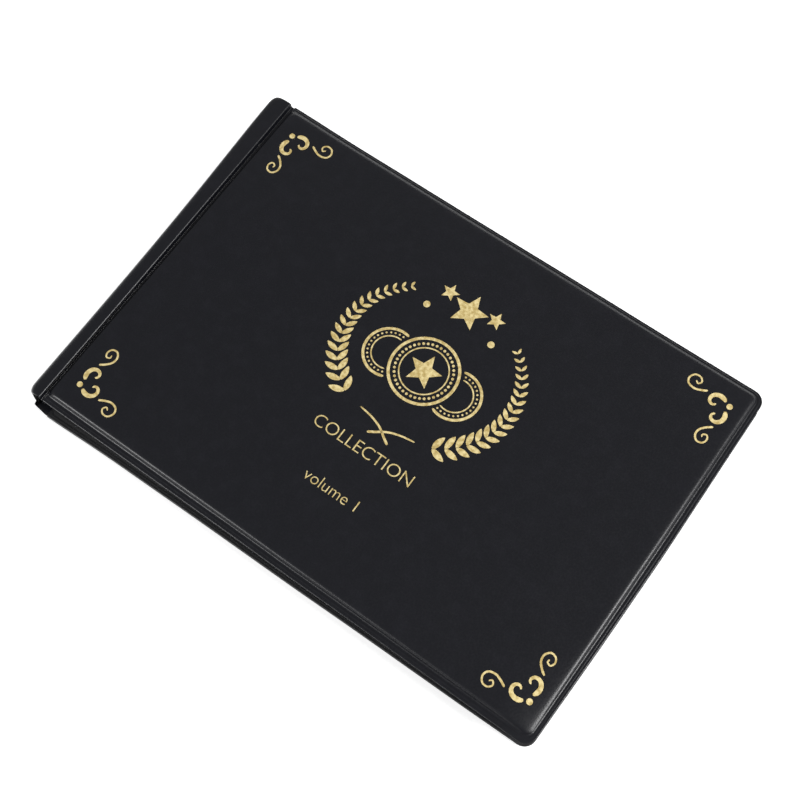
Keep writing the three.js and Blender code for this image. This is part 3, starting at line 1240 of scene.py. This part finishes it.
def foil_corner(number, flip_x, flip_y):
    """A corner ornament: a dot, two curled commas and two volutes, placed inward from the dot."""
    stamp = Stamp(f"foil_corner_{number}")

    def place(points):
        return [(flip_x * (CORNER_DOT[0] - x), flip_y * (CORNER_DOT[1] - y)) for x, y in points]

    def comma(swap, shift):
        path = []
        for k in range(45):
            turn = 7 * k
            p = on_circle(*COMMA_CENTRE, COMMA_REACH * math.exp(-COMMA_CURL * turn), 212 + turn)
            across, along = (p.y, p.x) if swap else (p.x, p.y)
            path.append((across + shift[0], along + shift[1]))
        stamp.ribbon(place(path), round_ended(faded(2.3, 0.75, len(path), 0.85), 5))

    stamp.dot(*place([(0, 0)])[0], CORNER_DOT_RADIUS)
    comma(False, (0, 0))
    comma(True, (1.3, 0.6))
    for points in VOLUTES:
        path = smooth_path(points, 6)
        stamp.ribbon(place(path), round_ended(faded(0.95, 0.62, len(path)), 3))
    stamp.finish()


def foil_words(name, words, middle, height):
    """A line of plain capitals or small letters, laid on the panel."""
    curve = bpy.data.curves.new(name, "FONT")
    curve.body = words
    curve.align_x = "CENTER"
    curve.align_y = "BOTTOM_BASELINE"
    curve.size = height / 0.73
    curve.offset = -0.012 * height / 0.73
    curve.extrude = 0.1
    curve.resolution_u = 6
    letters = bpy.data.objects.new(name + "_letters", curve)
    bpy.context.scene.collection.objects.link(letters)
    graph = bpy.context.evaluated_depsgraph_get()
    mesh = bpy.data.meshes.new_from_object(letters.evaluated_get(graph))
    bpy.data.objects.remove(letters)
    for vertex in mesh.vertices:
        x = vertex.co.x + middle[0] + PANEL_X
        y = vertex.co.y + middle[1]
        z = panel_z(x, y) + (FOIL_PROUD if vertex.co.z > 0 else -FOIL_DEPTH)
        vertex.co = Vector((x, y, z)) * MM
    mesh.name = name
    mesh.materials.clear()
    mesh.materials.append(FOIL)
    piece = bpy.data.objects.new(name, mesh)
    bpy.context.scene.collection.objects.link(piece)
    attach(piece, "front_cover")


foil_wreath()
foil_stems()
foil_stars()
foil_coins()
for corner_number, (flip_x, flip_y) in enumerate(((-1, 1), (1, 1), (1, -1), (-1, -1)), 1):
    foil_corner(corner_number, flip_x, flip_y)
foil_words("foil_title", "COLLECTION", (1.4, -31.0), 5.9)
foil_words("foil_volume", "volume 1", (1.4, -52.0), 5.4)


# ---- CAD nodes that stay ----

def finish_node(name, finish):
    """Gives a carried-over node its finish."""
    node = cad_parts[name]
    node.data.materials.clear()
    node.data.materials.append(finish)


for post_number in POST_NUMBERS:
    finish_node(f"binding_post_{post_number}", METAL)
    finish_node(f"binding_screw_{post_number}", METAL)


# ---- stage ----

FLOOR_REACH = 4000
FLOOR_Z = -0.08  # just clear of the soft underside


def floor():
    points = [(x * FLOOR_REACH, y * FLOOR_REACH, FLOOR_Z) for x, y in ((-1, -1), (1, -1), (1, 1), (-1, 1))]
    piece = make_object("floor", points, [(0, 1, 2, 3)], pale_floor(), smooth=False)


LIGHT_DISTANCE = 1.6  # metres


def softbox(name, direction, size, power):
    """An area light that faces the album from a direction, its size in metres."""
    light = bpy.data.lights.new(name, "AREA")
    light.shape = "RECTANGLE"
    light.size, light.size_y = size
    light.energy = power
    lamp = bpy.data.objects.new(name, light)
    towards = Vector(direction).normalized()
    lamp.location = towards * LIGHT_DISTANCE
    lamp.rotation_euler = towards.to_track_quat("Z", "Y").to_euler()
    bpy.context.scene.collection.objects.link(lamp)


def surroundings():
    """Soft white light from all round."""
    world = bpy.data.worlds.new("studio")
    world.use_nodes = True
    background = world.node_tree.nodes["Background"]
    background.inputs["Color"].default_value = (1.0, 1.0, 1.0, 1)
    background.inputs["Strength"].default_value = 0.25
    bpy.context.scene.world = world
    bpy.context.scene.view_settings.view_transform = "Standard"


CAMERA_LENS = 61.58
CAMERA_AZIMUTH = -49.487  # degrees
CAMERA_ELEVATION = 68.653
CAMERA_ROLL = -5.037
CAMERA_TARGET = (5.2, -1.9, TOP_Z)
CAMERA_DISTANCE = 0.5679  # metres


def viewpoint():
    camera = bpy.data.cameras.new("camera")
    camera.lens = CAMERA_LENS
    camera.sensor_width = 36
    camera.clip_start = 0.01
    holder = bpy.data.objects.new("camera", camera)
    azimuth = math.radians(CAMERA_AZIMUTH)
    elevation = math.radians(CAMERA_ELEVATION)
    target = Vector(CAMERA_TARGET) * MM
    away = Vector((
        math.cos(elevation) * math.cos(azimuth),
        math.cos(elevation) * math.sin(azimuth),
        math.sin(elevation),
    ))
    turn = Matrix.Rotation(azimuth + math.pi / 2, 4, "Z")
    tilt = Matrix.Rotation(math.pi / 2 - elevation, 4, "X")
    rolled = Matrix.Rotation(math.radians(CAMERA_ROLL), 4, "Z")
    holder.matrix_world = Matrix.Translation(target + away * CAMERA_DISTANCE) @ turn @ tilt @ rolled
    bpy.context.scene.collection.objects.link(holder)
    bpy.context.scene.camera = holder


floor()
surroundings()
softbox("fore_edge_light", (0.73, 0.15, 0.66), (0.36, 0.8), 19)
softbox("tail_light", (-0.44, -0.72, 0.54), (0.6, 0.6), 14)
softbox("head_light", (-0.15, 0.9, 0.4), (2.0, 0.4), 9)
viewpoint()
